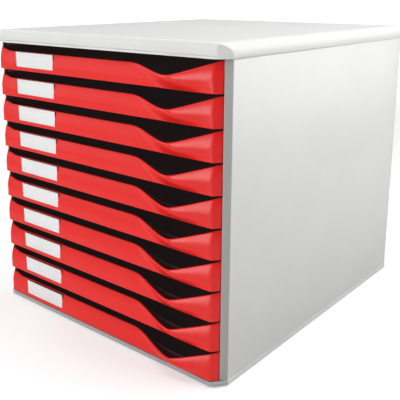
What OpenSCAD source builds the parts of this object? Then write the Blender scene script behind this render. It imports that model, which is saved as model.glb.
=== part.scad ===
// Desktop drawer set for A4 paper: ten pull-out trays in a plastic housing.
// X is the width, the drawer fronts face -Y and Z is up. The origin is on the
// desk, under the middle of the whole outline. All sizes are in millimetres.

/* [Housing] */
// Overall width
body_w = 290; // [284:1:300]
// Depth from the flat of the drawer fronts to the back
body_d = 331; // [326:1:345]
// Width of each side wall's bevelled front edge
wall_edge_w = 5.7; // [5:0.1:7]
// Thickness of the side wall's skin
wall_t = 3; // [2.5:0.5:4]
// Depth of the bevel at the ends of a drawer front
corner_back = 6.8; // [6:0.1:8]
// Depth of the bevel on a side wall's front edge
wall_bevel = 5.4; // [4:0.1:6]
// Thickness of the back panel
back_t = 2.5; // [2:0.5:3]

/* [Top cover] */
// Height of the cover's front lip
lip_h = 12.6; // [12:0.1:16]
// Radius of the cover's long top edges
cover_r = 10; // [8:0.5:11]
// Thickness of the cover's shell
cover_t = 3; // [2.5:0.5:3.5]

/* [Base tray] */
// Height of the base strip in front, under the lowest drawer
base_strip_h = 4.2; // [3.5:0.1:5]
// Height of the base tray's rim at the sides
base_rim_h = 5; // [4.5:0.1:5.2]
// Bevel along the base tray's lower side edges
base_bevel = 0.8; // [0.5:0.1:1]
// How far the rubber feet stand out below the base
foot_h = 1; // [0.8:0.1:1.5]
// Diameter of a rubber foot
foot_d = 14; // [10:1:16]

/* [Drawers] */
// Height of one drawer and its gap
pitch = 26.8; // [26:0.1:28]
// Thickness of a drawer front
front_t = 2.4; // [2:0.1:2.6]
// Height of a drawer front between the ears
front_h = 18.7; // [18:0.1:19]
// Outside width of a tray
tray_w = 268; // [260:1:268]
// Length of a tray
tray_l = 316; // [304:1:318]
// Height of a tray's side walls
tray_h = 20; // [18:0.5:21]
// Thickness of a tray's walls and floor
tray_t = 1.6; // [1.4:0.1:2]
// How far a drawer pulls out, up to its stop
travel = 240; // [200:5:250]

/* [Finger pull] */
// Where the pull starts to swell out of the front
pull_x0 = 50; // [45:1:55]
// Where the pull meets the right ear again
pull_x1 = 134.7; // [134:0.1:135.5]
// Slope of the pull's long left side, seen from above
pull_rise = 0.322; // [0.25:0.002:0.33]
// Slope of the pull's short right side, seen from above
pull_fall = 0.435; // [0.38:0.005:0.45]

/* [Label] */
// Left edge of the label recess
label_x0 = -109; // [-112:1:-106]
// Width of the label recess
label_w = 56; // [50:0.5:60]
// Height of front left under the label
label_z0 = 3.8; // [3:0.1:5]

/* [Hidden] */
drawers = 10;
gap = 0.4;
run_gap = 0.3;
flat_x = pull_x1;
end_x = body_w / 2 - wall_edge_w;
z_first = foot_h + base_strip_h + 0.3;
z_seam = z_first + drawers * pitch;
body_h = z_seam + lip_h;
rim_top = foot_h + base_rim_h;
skin_x = body_w / 2 - wall_t;
side_step = 0.4;
corner_r = 3;
ledge_z = 1.5;
ledge_t = 1.5;
tab_l = 4;

// Smooth ramp: zero well below d = 0, and d well above it.
function ramp(d, blend) = (d + sqrt(d * d + blend * blend)) / 2;
// Smaller of a and b with a rounded change-over.
function soft_min(a, b, blend) = (a + b - sqrt((a - b) * (a - b) + blend * blend)) / 2;
// How far the finger pull's rim stands forward of the front at x.
function pull(x) =
    x <= pull_x0 - 8 || x >= flat_x ? 0 :
    max(0, soft_min(pull_rise * ramp(x - pull_x0, 5), pull_fall * (flat_x - 0.2 - x), 2.2));
// Height of the front's upper edge at x, measured from the drawer's division line.
function rim(x) =
    x < -120.5 ? front_h + 0.11 * pow(-120.5 - x, 1.36) :
    x < 42 ? front_h :
    x > flat_x ? pitch - 1.5 :
    front_h - 6.9 + 0.342 * ramp(x - 98, 8)
        + 6.9 * (1 + cos(180 * min(1, (x - 42) / 55))) / 2;
// How far the front's face stands back at x: only its bevelled ends do.
function bevel(x) = abs(x) <= flat_x ? 0 : corner_back * (abs(x) - flat_x) / (end_x - flat_x);
// How far the face swells out at a share t of its height, for a rim that stands out by 1.
function swell(t) = 1 - pow(1 - t, 2.6);

pull_d = max([for (x = [90:0.25:102]) pull(x)]);
front_y = pull_d - (body_d + pull_d) / 2;
back_y = front_y + body_d;
edge_y = front_y + corner_back;
wall_y0 = edge_y + wall_bevel;
tray_y0 = front_y + front_t + 0.05;
stop_y = tray_y0 + tray_l - tab_l - travel - run_gap;
face_x = concat([-end_x + 0.3, -flat_x, -130, -125, -120.5, 42], [for (x = [47:3.5:131]) x],
                [flat_x - 0.2, flat_x, end_x - 0.3]);
face_t = [0, 0.08, 0.22, 0.45, 0.72, 1];

grey = [0.86, 0.86, 0.85];
red = [0.87, 0.15, 0.14];
black = [0.09, 0.08, 0.09];
rubber = [0.14, 0.14, 0.14];
paper = [0.95, 0.95, 0.94];
clear = [0.85, 0.9, 0.92, 0.4];

function two(n) = n < 10 ? str("0", n) : str(n);
function named(base) = [for (n = [1:drawers]) str(base, two(n))];

// Division line under drawer n, counted from the top.
function z_of(n) = z_first + (drawers - n) * pitch;

// Plan outline shared by the cover's lip and the base tray: flat front, bevelled corners.
module plan(inset = 0, y1 = back_y) {
    x = body_w / 2 - inset;
    polygon([
        [-x, y1], [-x, wall_y0 - 1], [-end_x + 0.7 + inset / 2, front_y + 2.6 + inset],
        [-flat_x + inset / 2, front_y + inset], [flat_x - inset / 2, front_y + inset],
        [end_x - 0.7 - inset / 2, front_y + 2.6 + inset], [x, wall_y0 - 1], [x, y1]
    ]);
}

// Plan outline round both side walls, whose front edges are bevelled.
module wall_plan() {
    x = body_w / 2;
    polygon([
        [-x, back_y], [-x, wall_y0], [-end_x, edge_y], [end_x, edge_y], [x, wall_y0], [x, back_y]
    ]);
}

// Cross-section of the cover across X, with its two top edges rounded.
module arch(inset, z0) {
    x = body_w / 2 - inset;
    r = cover_r - inset;
    top = body_h - inset;
    translate([-x, z0]) square([2 * x, top - r - z0]);
    translate([-x + r, z0]) square([2 * (x - r), top - z0]);
    for (s = [-1, 1]) translate([s * (x - r), top - r]) circle(r, $fn = 48);
}

module arch_block(inset, z0, y0, y1) {
    translate([0, y1, 0]) rotate([90, 0, 0]) linear_extrude(y1 - y0) arch(inset, z0);
}

module top_cover() {
    color(grey) difference() {
        intersection() {
            arch_block(0, z_seam, front_y, back_y);
            translate([0, 0, z_seam]) linear_extrude(lip_h) plan();
        }
        // hollow under the shell
        intersection() {
            arch_block(cover_t, z_seam - 1, front_y, back_y);
            translate([0, 0, z_seam - 1]) linear_extrude(lip_h) plan(cover_t, back_y - cover_t);
        }
        // V-groove along the lip, above its lower bead
        translate([-body_w, front_y - 1, z_seam + 2]) cube([2 * body_w, 1.6, 0.9]);
        // the walls stand a little higher than the lip's lower edge
        for (s = [-1, 1]) translate([s * body_w / 2, 0, z_seam])
            cube([2 * wall_edge_w + 2.4, 2 * body_d, 2 * side_step], center = true);
    }
}

// One runner ledge for a tray. The guide at its front keeps the tray straight, and the guide's
// rear end stops the tab on the tray.
module ledge(n) {
    z = z_of(n) + ledge_z;
    translate([tray_w / 2 - 6, wall_y0 + 1, z])
        cube([skin_x + 0.2 - tray_w / 2 + 6, back_y - wall_y0 - 7, ledge_t]);
    translate([tray_w / 2 + gap, wall_y0 + 5, z]) cube([1.6, stop_y - wall_y0 - 5, 6]);
}

module side_wall() {
    z0 = rim_top;
    h = z_seam + side_step - z0;
    // skin, front edge strip and rear edge strip
    translate([skin_x, wall_y0, z0]) cube([wall_t, back_y - wall_y0 - corner_r, h]);
    translate([0, 0, z0]) linear_extrude(h) polygon([
        [end_x, edge_y], [body_w / 2, wall_y0], [body_w / 2, wall_y0 + 4], [end_x, wall_y0 + 4]
    ]);
    translate([end_x - 1, back_y - 9, z0]) cube([wall_edge_w + 1 - corner_r, 9, h]);
    // rounded rear corner
    translate([body_w / 2 - corner_r, back_y - corner_r, z0]) cylinder(h, r = corner_r, $fn = 32);
    // tongue that plugs into the base tray
    translate([skin_x - 1.6, wall_y0 + 20, rim_top - 3]) cube([3, body_d - 60, 4]);
    for (n = [1:drawers]) ledge(n);
}

module right_side_wall() {
    color(grey) side_wall();
}

module left_side_wall() {
    color(grey) mirror([1, 0, 0]) side_wall();
}

module back_panel() {
    w = 2 * (end_x - 1.3);
    z0 = rim_top - 3;
    h = z_seam - z0 - 0.2;
    color(grey) difference() {
        translate([-w / 2, back_y - 2 - back_t, z0]) cube([w, back_t, h]);
        // two rows of vent slots
        for (z = [z0 + 60, z0 + h - 60], i = [-3:3])
            translate([i * 30 - 10, back_y - 10, z]) cube([20, 20, 3]);
    }
    // stiffening ribs on the outside
    color(grey) for (x = [-90, 0, 90])
        translate([x - 1, back_y - 2.2, z0 + 8]) cube([2, 1.4, h - 16]);
}

module base_tray() {
    color(grey) difference() {
        union() {
            // front strip and floor
            translate([0, 0, foot_h]) linear_extrude(base_strip_h) plan();
            // side and rear rim
            difference() {
                translate([0, 0, foot_h]) linear_extrude(base_rim_h) wall_plan();
                translate([-end_x, edge_y - 1, foot_h - 1])
                    cube([2 * end_x, wall_bevel + 5, base_rim_h + 2]);
                translate([-skin_x, wall_y0 + 4, foot_h - 1])
                    cube([2 * skin_x, back_y - wall_y0 - 6.8, base_rim_h + 2]);
            }
        }
        // bevel along the lower side edges
        for (s = [-1, 1]) translate([s * body_w / 2, 0, foot_h]) rotate([0, 45, 0])
            cube([base_bevel * sqrt(2), 2 * body_d, base_bevel * sqrt(2)], center = true);
        // pockets for the side walls' tongues and the back panel's foot
        for (s = [-1, 1]) translate([s * (skin_x - 0.1) - 1.8, wall_y0 + 19.8, rim_top - 3.2])
            cube([3.6, body_d - 59.6, 6]);
        translate([-end_x + 1, back_y - 2.3 - back_t, rim_top - 3.2])
            cube([2 * end_x - 2, back_t + 0.6, 8]);
        // recesses for the rubber feet
        feet(0.1, 1.5);
    }
}

module feet(extra, z1) {
    x = body_w / 2 - 24;
    for (sx = [-1, 1], y = [wall_y0 + 20, back_y - 24])
        translate([sx * x, y, -extra]) cylinder(foot_h + z1 + extra, d = foot_d + 2 * extra, $fn = 48);
}

module rubber_feet() {
    color(rubber) feet(0, 1.4);
}

// A point of the front's outer face, or of its inner face when behind is front_t.
function face_point(x, t, behind) = [
    x,
    front_y + bevel(x) - pull(x) * swell(t) + behind,
    gap + (rim(x) - gap) * t
];

// Drawer front: a plate with bevelled ends, raised ears and a swelling finger pull.
module drawer_front(n) {
    nx = len(face_x);
    nt = len(face_t);
    points = [
        for (behind = [0, front_t]) for (x = face_x) for (t = face_t) face_point(x, t, behind)
    ];
    inner = nx * nt;
    quads = concat(
        [for (i = [0:nx - 2]) for (j = [0:nt - 2])
            let (a = i * nt + j, b = a + nt) [a, a + 1, b + 1, b]],
        [for (i = [0:nx - 2]) for (j = [0:nt - 2])
            let (a = inner + i * nt + j, b = a + nt) [a, b, b + 1, a + 1]],
        [for (i = [0:nx - 2])
            let (a = i * nt, b = a + nt) [a, b, inner + b, inner + a]],
        [for (i = [0:nx - 2])
            let (a = i * nt + nt - 1, b = a + nt) [a, inner + a, inner + b, b]],
        [for (j = [0:nt - 2]) [j, inner + j, inner + j + 1, j + 1]],
        [for (j = [0:nt - 2])
            let (a = inner - nt + j) [a, a + 1, inner + a + 1, inner + a]]
    );
    faces = [for (q = quads) for (k = [1, 2]) [q[0], q[k], q[k + 1]]];
    color(red) difference() {
        translate([0, 0, z_of(n)]) polyhedron(points, faces);
        // recess for the label and its window
        translate([label_x0, front_y - 1, z_of(n) + label_z0]) cube([label_w, 2.2, front_h]);
    }
}

module label_card(n) {
    color(paper) translate([label_x0 + 0.3, front_y + 0.75, z_of(n) + label_z0 + 0.2])
        cube([label_w - 0.6, 0.4, front_h - label_z0 - 0.5]);
}

module label_window(n) {
    color(clear) translate([label_x0 + 0.15, front_y + 0.1, z_of(n) + label_z0 + 0.1])
        cube([label_w - 0.3, 0.6, front_h - label_z0 + 0.4]);
}

// Tray: open box that carries the paper and slides on the walls' ledges.
module drawer_tray(n) {
    z0 = z_of(n) + ledge_z + ledge_t + run_gap;
    y0 = tray_y0;
    color(black) difference() {
        translate([-tray_w / 2, y0, z0]) cube([tray_w, tray_l, tray_h]);
        translate([-tray_w / 2 + tray_t, y0 + tray_t, z0 + tray_t])
            cube([tray_w - 2 * tray_t, tray_l - 2 * tray_t, tray_h]);
        // front wall kept just below the drawer front's upper edge
        translate([-tray_w / 2 + 12, y0 - 1, z_of(n) + front_h - 1.5])
            cube([tray_w - 24, tray_t + 2, tray_h]);
        // low rear wall
        translate([-tray_w / 2 + 12, y0 + tray_l - tray_t - 1, z0 + 9])
            cube([tray_w - 24, tray_t + 2, tray_h]);
    }
    // tabs that meet the guides' rear ends when the drawer is fully out
    color(black) for (s = [-1, 1])
        translate([s * (tray_w / 2 + 0.3) - 1.3, y0 + tray_l - tab_l, z0]) cube([2.6, tab_l, 8]);
}

top_cover();
left_side_wall();
right_side_wall();
back_panel();
base_tray();
rubber_feet();
for (n = [1:drawers]) drawer_front(n);
for (n = [1:drawers]) drawer_tray(n);
for (n = [1:drawers]) label_card(n);
for (n = [1:drawers]) label_window(n);
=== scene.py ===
# Desktop drawer set for A4 paper: a light plastic housing with ten pull-out trays.
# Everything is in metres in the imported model's own frame; the shapes are worked out in
# millimetres, and scaled when a mesh is made.
import math
import bpy
import numpy as np
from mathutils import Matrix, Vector


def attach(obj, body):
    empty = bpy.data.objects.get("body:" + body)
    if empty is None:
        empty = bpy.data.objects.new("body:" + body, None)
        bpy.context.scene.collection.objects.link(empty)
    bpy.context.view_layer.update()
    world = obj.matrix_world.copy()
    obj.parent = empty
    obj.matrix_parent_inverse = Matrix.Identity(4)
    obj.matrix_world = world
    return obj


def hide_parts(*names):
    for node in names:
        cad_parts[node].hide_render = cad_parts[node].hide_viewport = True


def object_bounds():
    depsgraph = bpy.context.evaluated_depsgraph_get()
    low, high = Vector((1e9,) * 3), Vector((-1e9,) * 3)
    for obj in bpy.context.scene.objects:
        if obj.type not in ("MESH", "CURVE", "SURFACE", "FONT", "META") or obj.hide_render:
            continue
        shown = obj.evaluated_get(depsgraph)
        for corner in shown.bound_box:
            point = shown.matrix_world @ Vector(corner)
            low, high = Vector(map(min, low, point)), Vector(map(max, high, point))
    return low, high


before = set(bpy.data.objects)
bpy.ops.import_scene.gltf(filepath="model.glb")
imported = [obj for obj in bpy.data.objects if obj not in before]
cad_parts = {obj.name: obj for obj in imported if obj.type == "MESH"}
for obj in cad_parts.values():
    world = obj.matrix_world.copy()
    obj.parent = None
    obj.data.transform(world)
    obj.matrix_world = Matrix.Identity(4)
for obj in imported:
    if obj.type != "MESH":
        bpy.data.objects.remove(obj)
cad_lo, cad_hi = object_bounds()

# ---- Camera ------------------------------------------------------------------------
# A long lens a little above the lid, turned to the set's front right edge. A small shift of
# the frame places the set in it and keeps the upright edges closer to parallel.
camera = bpy.data.objects.new("camera", bpy.data.cameras.new("camera"))
bpy.context.scene.collection.objects.link(camera)
bpy.context.scene.camera = camera
turn, dip = math.radians(40.49), math.radians(12.56)
camera.location = (0.4297, -0.5491, 0.3226)
camera.rotation_euler = Vector((-math.sin(turn) * math.cos(dip), math.cos(turn) * math.cos(dip),
                                -math.sin(dip))).to_track_quat("-Z", "Y").to_euler()
camera.data.sensor_width = 36
camera.data.lens = 59.08
camera.data.shift_x = 0.065
camera.data.shift_y = -0.155
camera.data.clip_end = 50

# ---- Drawer fronts -----------------------------------------------------------------
# Ten red fronts, injection moulded in semi-gloss polystyrene and clipped over the trays'
# front walls: thin plates with bevelled ends, raised ears, a label recess and a finger pull
# that swells out of the face. The moulding leaves a fine ripple and an uneven gloss.
body_l, flat_x = 331.0, 134.7
front_y = 1000 * cad_hi[1] - body_l
drawers, first, pitch, gap = 10, 5.5, 26.8, 0.4
front_h, front_t = 18.7, 2.4
ear_x, trough_x, trough_l, trough_h = -120.5, 42, 55, 6.9


def lift(n, more=0):
    """How far drawer n is raised: the first height, one pitch for each drawer under it, and a bit more."""
    return np.array([0, 0, first + (drawers - n) * pitch + more])


def ramp(d, blend):
    """Nothing well below d = 0 and d well above it: half the sum of d and the root of d squared plus
    blend squared."""
    return (d + np.sqrt(d * d + blend * blend)) / 2


def soft_min(a, b, blend):
    """The smaller of a and b, blended where they meet: half of their sum less the root of their
    difference squared plus blend squared."""
    return (a + b - np.sqrt((a - b) ** 2 + blend * blend)) / 2


def smooth(t):
    """0 below t = 0 and 1 above t = 1, and three t squared less two t cubed between."""
    t = np.clip(t, 0, 1)
    return t * t * (3 - 2 * t)


def rim(x):
    """Height of the front's upper edge: level, with a left ear that rises by a power of 1.36, and over
    the pull a half cosine down to the trough and a straight climb to the right ear."""
    ear = front_h + 0.11 * np.maximum(0, ear_x - x) ** 1.36
    trough = trough_h * (1 + np.cos(np.pi * np.clip((x - trough_x) / trough_l, 0, 1))) / 2
    right = front_h - trough_h + trough + 0.342 * ramp(x - 98, 8) * (x > trough_x)
    return np.where(x < ear_x, ear, np.where(x < trough_x, front_h, np.minimum(right, pitch - 1.5)))


def pull(x, t):
    """How far the pull stands out at share t of the height: a long rising slope whose start lies further
    right low down, a short falling slope to the ear, the smaller of the two, and quickly out from the
    bottom edge by 1 less (1 - t) to the power 2.4."""
    start = 49.5 + 30 * (1 - t)
    out = soft_min(0.322 * ramp(x - start, 2.5), 0.435 * (flat_x - 0.2 - x), 2.2)
    return np.maximum(0, out) * (1 - (1 - t) ** 2.4) * smooth((x - 44) / 5)


def ridge(x, t):
    """The soft ridge under the pull's rim: two straight slopes that meet at a share of the height that
    falls from 0.94 to 0.45 along the pull, at most about 0.4 mm proud."""
    at = np.interp(x, [60, 89, 102, 110, 125], [0.94, 0.90, 0.64, 0.5, 0.45])
    high = np.interp(x, [60, 86, 98, 108, 116, 126], [0, 0.1, 0.3, 0.4, 0.3, 0])
    return np.maximum(0, high * soft_min(t / at, (1 - t) / (1 - at), 0.12))


def bevel(x):
    """How far the face stands back at its ends: a slope of 1.48 outside the flat, with a small round."""
    return 1.48 * (ramp(np.abs(x) - flat_x, 0.8) - ramp(-flat_x, 0.8))


def pocket(x, z):
    """Depth of the label recess, 1.2 mm between x = -109 and -53 and above 3.8 mm, with 0.15 mm rounds."""
    return 1.2 * smooth((x + 109.15) / 0.3) * smooth((-52.85 - x) / 0.3) * smooth((z - 3.65) / 0.3)


def rings_of_front():
    """For each station along X, the closed section: outer face up, rim round, inner face down, foot round."""
    x = np.concatenate([np.linspace(-139, -134.8, 7), np.linspace(-134, -110, 17), [-109.3],
                        np.linspace(-109.15, -108.85, 4), np.linspace(-107, -55, 14),
                        np.linspace(-53.15, -52.85, 4), [-52.6], np.linspace(-50, 38, 16),
                        np.arange(40, 134.1, 1.2), np.linspace(134.3, 139, 9)])[:, None]
    top = rim(x)
    t = np.concatenate([np.linspace(0, 0.18, 7)[:-1], np.linspace(0.182, 0.202, 4),
                        np.linspace(0.23, 1, 26)])[None, :]
    r, foot = 1.1, 0.5
    z_face = gap + foot + (top - r - gap - foot) * t

    def face(zz):
        """Outer face at height zz: bevelled ends less the pull and its ridge, the upper 12 mm leaning back
        by a power of 1.6, and low on the right a groove with a bell-shaped section, 0.35 mm deep."""
        share = np.clip((zz - gap) / (top - gap), 0, 1)
        lean = 2.9 * np.clip((zz - top + 12) / 12, 0, 1) ** 1.6
        groove = 0.35 * np.exp(-((zz - 3.1) / 0.45) ** 2) * smooth((x - 118) / 4) * smooth((133.4 - x) / 1)
        return bevel(x) - pull(x, share) - ridge(x, share) + lean + groove

    y_face = face(z_face) + pocket(x, z_face)
    deep = pocket(x, top - 1)
    half_t = (front_t - deep) / 2
    a = np.linspace(0, np.pi, 9)[None, :]
    y_top = face(top - r) + deep + half_t - half_t * np.cos(a)
    z_top = top - half_t + half_t * np.sin(a)
    t_in = np.linspace(1, 0, 14)[None, :]
    z_in = gap + foot + (top - r - gap - foot) * t_in
    y_in = face(z_in) + front_t
    b = np.linspace(0, np.pi, 9)[None, 1:-1]
    y_foot = face(gap + foot + 0 * b) + front_t / 2 + front_t / 2 * np.cos(b)
    z_foot = gap + foot - foot * np.sin(b)
    y = np.concatenate([y_face, y_top, y_in, y_foot], 1)
    z = np.concatenate([z_face, z_top, z_in, z_foot + 0 * x], 1)
    return np.stack([x + 0 * y, front_y + y, z], 2)


def closed(rings):
    """Points, quads and end faces of a closed skin: a quad for each step along a ring to the next ring,
    and one face over the first ring and one over the last."""
    k, m = rings.shape[:2]
    i, j = np.meshgrid(np.arange(k - 1), np.arange(m), indexing="ij")
    a, b = (i * m + j).ravel(), (i * m + (j + 1) % m).ravel()
    ends = [np.arange(m), np.arange((k - 1) * m, k * m)[::-1]]
    return rings.reshape(-1, 3), np.stack([a, a + m, b + m, b], 1), ends


def make(name, skins, body, replaces, finish, sharp=35):
    """One mesh object from closed skins given as rings in millimetres, riding on its body. A skin's signed
    volume, the sum of corner triple products over its faces, says whether to turn its faces round."""
    verts, faces, base = [], [], 0
    for rings in skins:
        v, quads, ends = closed(rings)
        corners = [(quads[:, 0], quads[:, k], quads[:, k + 1]) for k in (1, 2)]
        corners += [(0 * end[2:] + end[0], end[1:-1], end[2:]) for end in ends]
        volume = sum(np.einsum("ij,ij->", v[a], np.cross(v[b], v[c])) for a, b, c in corners)
        step = -1 if volume < 0 else 1
        verts.append(v)
        faces += (quads[:, ::step] + base).tolist() + [(end[::step] + base).tolist() for end in ends]
        base += len(v)
    mesh = bpy.data.meshes.new(name)
    mesh.from_pydata((np.concatenate(verts) / 1000).tolist(), [], faces)
    mesh.polygons.foreach_set("use_smooth", np.ones(len(mesh.polygons), bool))
    mesh.set_sharp_from_angle(angle=math.radians(sharp))
    mesh.materials.append(finish)
    piece = bpy.data.objects.new(name, mesh)
    bpy.context.scene.collection.objects.link(piece)
    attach(piece, body)
    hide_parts(*replaces)


class Wire:
    """A shader socket that sums can be written with. Each operator adds the Math node of its own name."""

    def __init__(self, tree, socket=None):
        """A wire from a socket, or a bare start in a node tree."""
        self.tree, self.socket = tree, socket

    def node(self, kind, settings, sockets, out=0):
        """Any other node: its type, its settings, the values or links of its sockets, and which output."""
        made = self.tree.nodes.new(kind)
        for key, value in settings.items():
            setattr(made, key, value)
        for key, value in sockets.items():
            if isinstance(value, Wire):
                self.tree.links.new(value.socket, made.inputs[key])
            else:
                made.inputs[key].default_value = value
        return Wire(self.tree, made.outputs[out])

    def math(self, operation, a, b):
        """One Math node on a and b, each a wire or a plain number."""
        return self.node("ShaderNodeMath", {"operation": operation}, {0: a, 1: b})

    def __add__(self, other):
        return self.math("ADD", self, other)

    def __sub__(self, other):
        return self.math("SUBTRACT", self, other)

    def __rsub__(self, other):
        return self.math("SUBTRACT", other, self)

    def __mul__(self, other):
        return self.math("MULTIPLY", self, other)

    __radd__, __rmul__ = __add__, __mul__

    def blend(self, low, high):
        """The colour that is low at share 0 and high at share 1, and a straight mix between."""
        colours = {6: low if isinstance(low, Wire) else (*low, 1),
                   7: high if isinstance(high, Wire) else (*high, 1)}
        return self.node("ShaderNodeMix", {"data_type": "RGBA"}, {0: self, **colours}, 2)


def plastic(name, colour, tint, rough, grain, depth, specular=0.5):
    """Moulded plastic: two close colours mixed by three parts of slow drift to one of handling smear, a
    fine moulded grain with a ninefold slower wave under it in the normal, and a roughness that the smear
    moves by up to 0.06 each way. grain is in waves per metre, and depth is in metres."""
    material = bpy.data.materials.new(name)
    material.use_nodes = True
    shader = material.node_tree.nodes["Principled BSDF"]
    at = Wire(material.node_tree).node("ShaderNodeTexCoord", {}, {}, "Object")
    drift = at.node("ShaderNodeTexNoise", {}, {"Vector": at, "Scale": 14, "Detail": 3, "Roughness": 0.6})
    smear = at.node("ShaderNodeTexNoise", {}, {"Vector": at, "Scale": 75, "Detail": 4, "Roughness": 0.7})
    fine = at.node("ShaderNodeTexNoise", {}, {"Vector": at, "Scale": grain, "Detail": 2, "Roughness": 0.5})
    wave = at.node("ShaderNodeTexNoise", {}, {"Vector": at, "Scale": grain / 9, "Detail": 1})
    shade = drift * 0.75 + smear * 0.25
    shade = shade.node("ShaderNodeMapRange", {}, {0: shade, 1: 0.35, 2: 0.65, 3: 0.0, 4: 1.0})
    height = fine * 0.6 + wave * 0.4
    bump = at.node("ShaderNodeBump", {}, {"Strength": 0.6, "Distance": depth, "Height": height})
    for key, value in (("Base Color", shade.blend(colour, tint)), ("Normal", bump),
                       ("Roughness", rough + 0.12 * smear - 0.06)):
        material.node_tree.links.new(value.socket, shader.inputs[key])
    shader.inputs["Specular IOR Level"].default_value = specular
    return material


red = plastic("front_red", (0.86, 0.024, 0.021), (0.83, 0.020, 0.017), 0.32, 900, 0.00006, 0.36)
front_rings = rings_of_front()
for n in range(1, drawers + 1):
    make(f"front_{n:02d}", [front_rings + lift(n)], f"drawer_{n:02d}", [f"drawer_front_{n:02d}"],
         red)

# ---- Trays -------------------------------------------------------------------------
# Ten black polystyrene trays, each an open box 1.6 mm thick that holds A4 sheets. The
# front wall stays under the front's edge and the rear wall is low; two tabs at the back
# meet the guides' ends when the drawer is fully out.
tray_y, tray_l, tray_w, tray_h = front_y + front_t + 0.05, 316.0, 268.0, 20


def outline(corners, radii, step=12.0, arc=5):
    """Points and outward normals round a polygon, anticlockwise, with its corners rounded: each arc runs
    between the tangent points, and long straights get a point every step."""
    c, r = np.array(corners, float), np.array(radii, float)[:, None]
    into = c - np.roll(c, 1, 0)
    into /= np.linalg.norm(into, axis=1, keepdims=True)
    away = np.roll(into, -1, 0)
    n_in, n_out = np.stack([into[:, 1], -into[:, 0]], 1), np.stack([away[:, 1], -away[:, 0]], 1)
    cosine = (n_in * n_out).sum(1, keepdims=True)
    bisector = (n_in + n_out) / (1 + cosine)
    turning = np.sign(into[:, :1] * away[:, 1:] - into[:, 1:] * away[:, :1])
    centre = c - turning * r * bisector
    share = np.linspace(0, 1, arc)[None, :, None]
    normal = n_in[:, None] * (1 - share) + n_out[:, None] * share
    normal /= np.linalg.norm(normal, axis=2, keepdims=True)
    points = (centre[:, None] + (turning * r)[:, None] * normal).reshape(-1, 2)
    normal = normal.reshape(-1, 2)
    loop = np.concatenate([points, points[:1]])
    s = np.concatenate([[0], np.cumsum(np.linalg.norm(np.diff(loop, axis=0), axis=1))])
    at = np.union1d(s, np.arange(0, s[-1], step))
    at = at[np.concatenate([np.diff(at) > 0.02, [False]])]
    twice = np.concatenate([normal, normal[:1]])
    points = np.stack([np.interp(at, s, loop[:, k]) for k in (0, 1)], 1)
    normal = np.stack([np.interp(at, s, twice[:, k]) for k in (0, 1)], 1)
    return points, normal / np.linalg.norm(normal, axis=1, keepdims=True)


def loft(points, normals, insets, heights):
    """Rings of a profile carried round an outline: each is the outline moved inwards by its inset, at its
    height, which is one number or one for each point."""
    flat = points[None] - np.array(insets, float)[:, None, None] * normals[None]
    z = np.stack([h + np.zeros(len(points)) for h in heights])
    return np.concatenate([flat, z[:, :, None]], 2)


def box_corners(x0, x1, y0, y1):
    """The four corners of an upright rectangle, anticlockwise from its least x and y."""
    return [(x0, y0), (x1, y0), (x1, y1), (x0, y1)]


def block(x0, x1, y0, y1, z0, z1, r=0.4):
    """A bar with all its edges rounded by r: its outline carried out over a quarter round, up, and back in
    over another."""
    p, q = outline(box_corners(x0, x1, y0, y1), [r] * 4, 400, 3)
    a = np.linspace(0, np.pi / 2, 3)
    insets = np.concatenate([r - r * np.sin(a), r - r * np.cos(a)])
    return loft(p, q, insets, np.concatenate([z0 + r - r * np.cos(a), z1 - r + r * np.sin(a)]))


def rings_of_tray():
    """The tray's section carried round its plan: foot round, outer wall, rim round, inner wall, fillet.
    The rim drops by smooth steps at the front wall, more so behind the pull, and at the rear wall."""
    half = tray_w / 2
    p, q = outline(box_corners(-half, half, tray_y, tray_y + tray_l), [3.0] * 4, 3.0, 6)
    inner = smooth((132.5 - np.abs(p[:, 0])) / 4)
    dip = smooth((p[:, 0] - trough_x) / 50) * smooth((132 - p[:, 0]) / 6)
    at_front, at_rear = p[:, 1] < tray_y + 5, p[:, 1] > tray_y + tray_l - 5
    top = tray_h - 6.1 * inner * at_front - 11 * inner * at_rear
    top = top - 6.6 * dip * inner * at_front
    wall = 1.6
    a = np.linspace(0, np.pi / 2, 4)
    b = np.linspace(0, np.pi, 7)
    insets = np.concatenate([1 - np.sin(a), wall / 2 - wall / 2 * np.cos(b), wall + 1.2 - 1.2 * np.cos(a)])
    heights = ([1 - math.cos(v) for v in a] + [top - wall / 2 + wall / 2 * math.sin(v) for v in b]
               + [wall + 1.2 - 1.2 * math.sin(v) for v in a])
    return loft(p, q, insets, heights)


# Painted light: the trays' dark red-brown colour stands in for red light bounced from the fronts into the
# shaded trays. The real trays are black.
black = plastic("tray_black", (0.060, 0.021, 0.021), (0.048, 0.017, 0.017), 0.5, 1500, 0.00005, 0.35)
tray_painted_glow_shader = black.node_tree.nodes["Principled BSDF"]
# Painted glow: a faint red-brown emission that brightens the shaded inside of each tray, standing in for the
# light that reaches in through the gaps.
tray_painted_glow_shader.inputs["Emission Color"].default_value = (0.008, 0.0055, 0.0055, 1)
tray_painted_glow_shader.inputs["Emission Strength"].default_value = 1.0
tray_rings = rings_of_tray()
tab_x, tab_half, tab_l = tray_w / 2 + 0.3, 1.3, 4
tabs = [block(side * tab_x - tab_half, side * tab_x + tab_half,
              tray_y + tray_l - tab_l, tray_y + tray_l - 0.05, 0.05, 8) for side in (-1, 1)]
for n in range(1, drawers + 1):
    skins = [rings + lift(n, 3.3) for rings in [tray_rings, *tabs]]
    make(f"tray_{n:02d}", skins, f"drawer_{n:02d}", [f"drawer_tray_{n:02d}"], black)

# ---- Label cards and windows -------------------------------------------------------
# A white card slides down behind a clear polystyrene window in each front's recess. The
# card bows a little; the window is a thin plate with polished edges.
label_x0, label_w, label_z0 = -109.0, 56.0, 3.8


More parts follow.
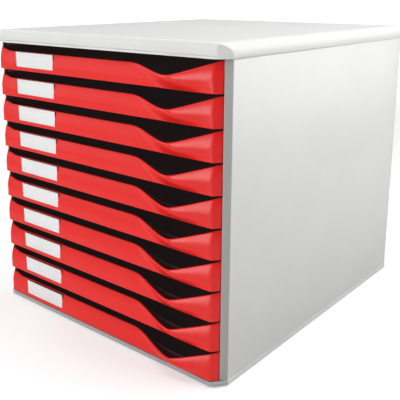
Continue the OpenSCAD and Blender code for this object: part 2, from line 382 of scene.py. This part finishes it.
def plate(x0, x1, z0, z1, y0, y1, bow, r=0.12):
    """A thin upright plate: for each station along X a rounded slot section, with the whole plate bowed
    forward by bow as one half sine."""
    x = np.linspace(x0, x1, 25)[:, None]
    a = np.linspace(0, np.pi / 2, 3)
    y = np.concatenate([y0 + r - r * np.cos(a), y1 - r + r * np.sin(a), y1 - r + r * np.cos(a),
                        y0 + r - r * np.sin(a)])[None]
    z = np.concatenate([z1 - r + r * np.sin(a), z1 - r + r * np.cos(a), z0 + r - r * np.sin(a),
                        z0 + r - r * np.cos(a)])[None]
    y = y - bow * np.sin(np.pi * (x - x0) / (x1 - x0))
    return np.stack([x + 0 * y, front_y + y, z + 0 * y], 2)


paper = plastic("label_paper", (0.96, 0.96, 0.95), (0.94, 0.94, 0.93), 0.75, 2600, 0.00004, 0.2)
clear = plastic("label_clear", (0.85, 0.86, 0.87), (0.80, 0.81, 0.83), 0.18, 300, 0.00002)
clear.node_tree.nodes["Principled BSDF"].inputs["Alpha"].default_value = 0.14
label_x1 = label_x0 + label_w
card_rings = plate(label_x0 + 0.3, label_x1 - 0.3, label_z0 + 0.2, front_h - 0.4, 0.80, 1.12, 0.05)
window_rings = plate(label_x0 + 0.15, label_x1 - 0.15, label_z0 + 0.1, front_h + 0.1, 0.12, 0.68, 0)
for n in range(1, drawers + 1):
    make(f"card_{n:02d}", [card_rings + lift(n)], f"drawer_{n:02d}", [f"label_card_{n:02d}"],
         paper)
    make(f"window_{n:02d}", [window_rings + lift(n)], f"drawer_{n:02d}", [f"label_window_{n:02d}"],
         clear)

# ---- Top cover ---------------------------------------------------------------------
# The lid is one light-grey polystyrene moulding with two rounded long edges, snapped onto
# the walls. Its front lip hangs over the drawers and carries a thin groove above a slightly
# proud bead.
seam = first + drawers * pitch
half_w, end_x = 145.0, 139.3
lid_h, lid_r, back_y = 12.6, 10.0, front_y + body_l


def lid_front(x):
    """Plan of the lip: flat, then straight facets that run back to the full width."""
    stations = [0, flat_x - 0.6, flat_x + 0.6, end_x - 1, end_x, half_w]
    return np.interp(np.abs(x), stations, [0, 0, 0.35, 2.3, 3.3, 11.2])


def rings_of_lid():
    """For each station along X, the closed section: lip, crease, top, rear edge, then the hollow. Near
    the ends the top drops by a quarter round. The lip stands 0.55 mm proud at the bead and 0.3 mm back
    above it, by smooth steps with a bell-shaped groove 0.8 mm deep between, and it curves back above
    6 mm by a power of 2 and below 6.5 mm by a power of 1.5."""
    a = np.linspace(np.pi / 2, 0, 15)
    round_x = half_w - lid_r
    x = np.concatenate([-round_x - lid_r * np.sin(a), np.linspace(2 - round_x, round_x - 2, 40),
                        round_x + lid_r * np.sin(a[::-1])])[:, None]
    drop = lid_r - np.sqrt(np.maximum(0, lid_r ** 2 - np.maximum(0, np.abs(x) - round_x) ** 2))
    top = lid_h - drop
    y0 = lid_front(x)
    plain = smooth((137.5 - np.abs(x)) / 3)
    r = 1.3
    t = np.concatenate([np.linspace(0, 0.02, 3), np.linspace(0.04, 0.36, 25), np.linspace(0.4, 1, 12)])[None]
    z_lip = (top - r) * t
    bead = 0.3 * smooth((z_lip - 1.8) / 0.5) - 0.55 * (1 - smooth((z_lip - 1.7) / 0.4))
    bead = bead + 0.8 * np.exp(-((z_lip - 2.3) / 0.35) ** 2)
    belly = 0.7 * np.clip((z_lip - 6) / 6, 0, 1) ** 2 + 0.6 * np.clip((6.5 - z_lip) / 4, 0, 1) ** 1.5
    round_foot = 0.3 * (1 - smooth(z_lip / 0.35))
    y_lip = y0 + (bead + belly) * plain + round_foot
    b = np.linspace(0, np.pi / 2, 7)[None, 1:]
    y_crease = y0 + 0.85 * plain + r - r * np.cos(b)
    z_crease = top - r + r * np.sin(b)
    y_top = np.linspace(0.02, 0.98, 14)[None] * (body_l - y0 - 4) + y0 + 2.2
    y_back = body_l - 1 + np.sin(np.linspace(0, np.pi / 2, 6))[None] + 0 * x
    z_back = top - 1 + np.cos(np.linspace(0, np.pi / 2, 6))[None]
    wall = 3.0
    hollow = np.clip((142 - np.abs(x)) / 2, 0, 1)
    ceiling = np.maximum(0.02, top - wall) * hollow
    y_in = np.concatenate([0 * x + body_l, 0 * x + body_l - wall, 0 * x + body_l - wall,
                           y0 + wall + 0.5, y0 + wall + 0.5], 1)
    z_in = np.concatenate([0 * x, 0 * x, ceiling, ceiling, 0 * x], 1)
    y = np.concatenate([y_lip, y_crease, y_top, y_back, y_in], 1)
    z = np.concatenate([z_lip, z_crease, top + 0 * y_top, z_back, z_in], 1)
    return np.stack([x + 0 * y, front_y + y, seam + z], 2)


def housing_plastic(name):
    """The housing's plastic: a light neutral grey with a fine satin grain."""
    return plastic(name, (0.80, 0.80, 0.785), (0.775, 0.775, 0.765), 0.40, 1300, 0.00006)


grey = housing_plastic("housing_grey")
make("lid", [rings_of_lid()], "housing", ["top_cover"], grey, 40)

# ---- Side walls --------------------------------------------------------------------
# Two grey polystyrene walls, moulded with a bevelled front edge and a rounded rear edge and
# plugged between the base and the lid. Inside each are ten ledges that the trays run on,
# with a guide at the front of each ledge.
edge_y, wall_y = front_y + 6.8, front_y + 12.2


def edged(name, dark):
    """The housing's grey with its front edges in a darker tone, as far back as the end of their bevel,
    where the tone changes in a straight ramp over 0.6 mm."""
    material = housing_plastic(name)
    shader = material.node_tree.nodes["Principled BSDF"]
    light = Wire(material.node_tree, shader.inputs["Base Color"].links[0].from_socket)
    at = light.node("ShaderNodeTexCoord", {}, {}, "Object")
    depth = at.node("ShaderNodeSeparateXYZ", {}, {0: at}, "Y")
    edge = at.node("ShaderNodeMapRange", {}, {0: depth, 1: wall_y / 1000 - 0.0006, 2: wall_y / 1000,
                                             3: 0.0, 4: 1.0})
    material.node_tree.links.new(edge.blend(dark, light).socket, shader.inputs["Base Color"])
    return material


trim = edged("housing_edge", (0.41, 0.405, 0.40))
travel, ledge_x, inner_x = 240, 128, half_w - 3
stop_y = tray_y + tray_l - tab_l - travel - 0.3
for side, name in ((-1, "left"), (1, "right")):
    p, q = outline([(end_x, edge_y), (half_w, wall_y), (half_w, back_y), (end_x - 1, back_y),
                    (end_x - 1, back_y - 9), (inner_x, back_y - 9), (inner_x, wall_y + 4),
                    (end_x, wall_y + 4)],
                   [0.5, 1.2, 3.0, 0.5, 0.5, 0.5, 0.5, 0.5], 25)
    skins = [loft(p, q, [0.3, 0.09, 0, 0, 0.1, 0.7, 0.7],
                  [6.0, 6.09, 6.3, seam - 0.9, seam - 0.75, seam - 0.7, seam + 0.4])]
    for n in range(drawers):
        z = first + n * pitch + 1.5
        skins.append(block(ledge_x, inner_x + 0.2, wall_y + 1, back_y - 6, z, z + 1.5))
        skins.append(block(tray_w / 2 + 0.4, tray_w / 2 + 2, wall_y + 5, stop_y, z + 0.05, z + 6))
    skins = [rings * [side, 1, 1] for rings in skins]
    make(f"wall_{name}", skins, "housing", [f"{name}_side_wall"], trim)

# ---- Base tray ---------------------------------------------------------------------
# The moulded grey polystyrene floor that the walls plug into: a thin strip shows under the
# lowest drawer, and a low rim runs round the sides and the back.
p, q = outline([(-flat_x, front_y), (flat_x, front_y), (138.6, front_y + 2.6), (half_w, front_y + 11.2),
                (half_w, back_y), (-half_w, back_y), (-half_w, front_y + 11.2), (-138.6, front_y + 2.6)],
               [1.0, 1.0, 1.0, 1.5, 1.0, 1.0, 1.5, 1.0], 8)
rim_z = 5.2 + 0.8 * smooth((p[:, 1] - edge_y) / 4)
base_rings = loft(p, q, [0.8, 0.24, 0, 0, 0.18, 0.6, 2.8, 3.0],
                  [1.0, 1.24, 1.8, rim_z - 0.6, rim_z - 0.18, rim_z, rim_z, 5.2])
base_grey = edged("housing_base", (0.43, 0.425, 0.42))
make("base", [base_rings], "housing", ["base_tray"], base_grey)

# ---- Back panel --------------------------------------------------------------------
# A flat polystyrene rear panel with stiffening ribs and two rows of vent slots, held between
# the walls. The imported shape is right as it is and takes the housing's finish.
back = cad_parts["back_panel"]
for place in back.material_slots:
    place.material = grey

# ---- Feet --------------------------------------------------------------------------
# Four black rubber discs pressed into the base. They are softly domed at the edge.
rubber = plastic("foot_rubber", (0.020, 0.020, 0.020), (0.035, 0.034, 0.033), 0.72, 900, 0.0001, 0.3)
foot_r, foot_x = 7, 121
turns = np.linspace(0, 2 * np.pi, 49)[:-1]
circle = np.stack([np.cos(turns), np.sin(turns)], 1)
feet = [loft(foot_r * circle + [side * foot_x, y], circle,
             [3.0, 0.6, 0.15, 0, 0], [0.12, 0.0, 0.15, 0.5, 2.3])
        for side in (-1, 1) for y in (wall_y + 20, back_y - 24)]
make("feet", feet, "housing", ["rubber_feet"], rubber)

# ---- Floor and light ---------------------------------------------------------------
# A matt white table that glows more the further it runs out, and that gives back less light
# behind and to the right of the set. A broad light hangs overhead, with one in front and
# smaller ones round the sides and the back.
radii = np.array([0.3, 0.6, 0.9, 1.3, 2, 4, 8, 16, 30])
floor_rings = np.concatenate([radii[:, None, None] * circle[None], np.zeros((len(radii), 48, 1))], 2)
points, quads, ends = closed(floor_rings)
floor_mesh = bpy.data.meshes.new("floor")
floor_mesh.from_pydata(points.tolist(), [], quads.tolist() + [ends[0].tolist()])
floor = bpy.data.objects.new("floor", floor_mesh)
bpy.context.scene.collection.objects.link(floor)
table = bpy.data.materials.new("table")
table.use_nodes = True
tree = table.node_tree
at = Wire(tree).node("ShaderNodeTexCoord", {}, {}, "Object")
reach = at.node("ShaderNodeVectorMath", {"operation": "LENGTH"}, {0: at}, "Value")
eased = {"interpolation_type": "SMOOTHSTEP"}
share = at.node("ShaderNodeMapRange", eased, {0: reach, 1: 0.5, 2: 2.2, 3: 0.45, 4: 1.0})
seen = at.node("ShaderNodeLightPath", {}, {}, "Is Camera Ray")
faint, strong = [at.node("ShaderNodeEmission", {}, {"Color": (1, 1, 1, 1), "Strength": strength})
                 for strength in (0.4, 1.2)]
glow = at.node("ShaderNodeMixShader", {}, {0: seen, 1: faint, 2: strong})
matt = at.node("ShaderNodeBsdfDiffuse", {}, {"Color": (0.93, 0.93, 0.93, 1)})
bright = at.node("ShaderNodeMixShader", {}, {0: share, 1: matt, 2: glow})
dull = at.node("ShaderNodeBsdfDiffuse", {}, {"Color": (0.55, 0.55, 0.55, 1)})
across = at.node("ShaderNodeVectorMath", {"operation": "DOT_PRODUCT"}, {0: at, 1: (-1, -1, 0)}, "Value")
ahead = at.node("ShaderNodeMapRange", eased, {0: across, 1: -0.12, 2: 0.12, 3: 0.0, 4: 1.0})
mixed = at.node("ShaderNodeMixShader", {}, {0: seen.math("MAXIMUM", seen, ahead), 1: dull, 2: bright})
tree.links.new(mixed.socket, tree.nodes["Material Output"].inputs["Surface"])
floor_mesh.materials.append(table)

# The room looks white from inside and gives the set almost no light of its own.
world = bpy.data.worlds.new("room")
bpy.context.scene.world = world
world.use_nodes = True
tree = world.node_tree
ray = Wire(tree).node("ShaderNodeLightPath", {}, {}, "Is Camera Ray")
sky = ray * 0.99 + 0.01
tree.links.new(sky.socket, tree.nodes["Background"].inputs["Strength"])
tree.nodes["Background"].inputs["Color"].default_value = (1, 1, 1, 1)

aim = Vector((0.05, 0, 0.15))


def lamp(name, place, width, height, power):
    """A soft light panel at a place, turned along the straight line to the aim inside the set."""
    data = bpy.data.lights.new(name, "AREA")
    data.shape, data.size, data.size_y, data.energy = "RECTANGLE", width, height, power
    panel = bpy.data.objects.new(name, data)
    bpy.context.scene.collection.objects.link(panel)
    panel.location = place
    panel.rotation_euler = (aim - Vector(place)).to_track_quat("-Z", "Y").to_euler()


lamp("front_light", (0.05, -1.392, 0.296), 0.6, 0.6, 8.3)
lamp("low_light", (-0.794, -0.937, 0.464), 1.0, 0.5, 1.7)
lamp("right_light", (0.714, 0.242, 0.857), 0.6, 0.6, 3.4)
lamp("back_light", (0.847, 0.797, 0.560), 0.7, 0.7, 4.6)
lamp("side_light", (0.474, 0, 0.574), 0.3, 0.3, 0.42)
lamp("left_light", (-1.12, -0.05, 0.55), 0.7, 0.7, 4.5)
lamp("top_light", (0.05, -0.024, 1.55), 1.2, 1.2, 17.5)
bpy.context.scene.view_settings.view_transform = "Standard"
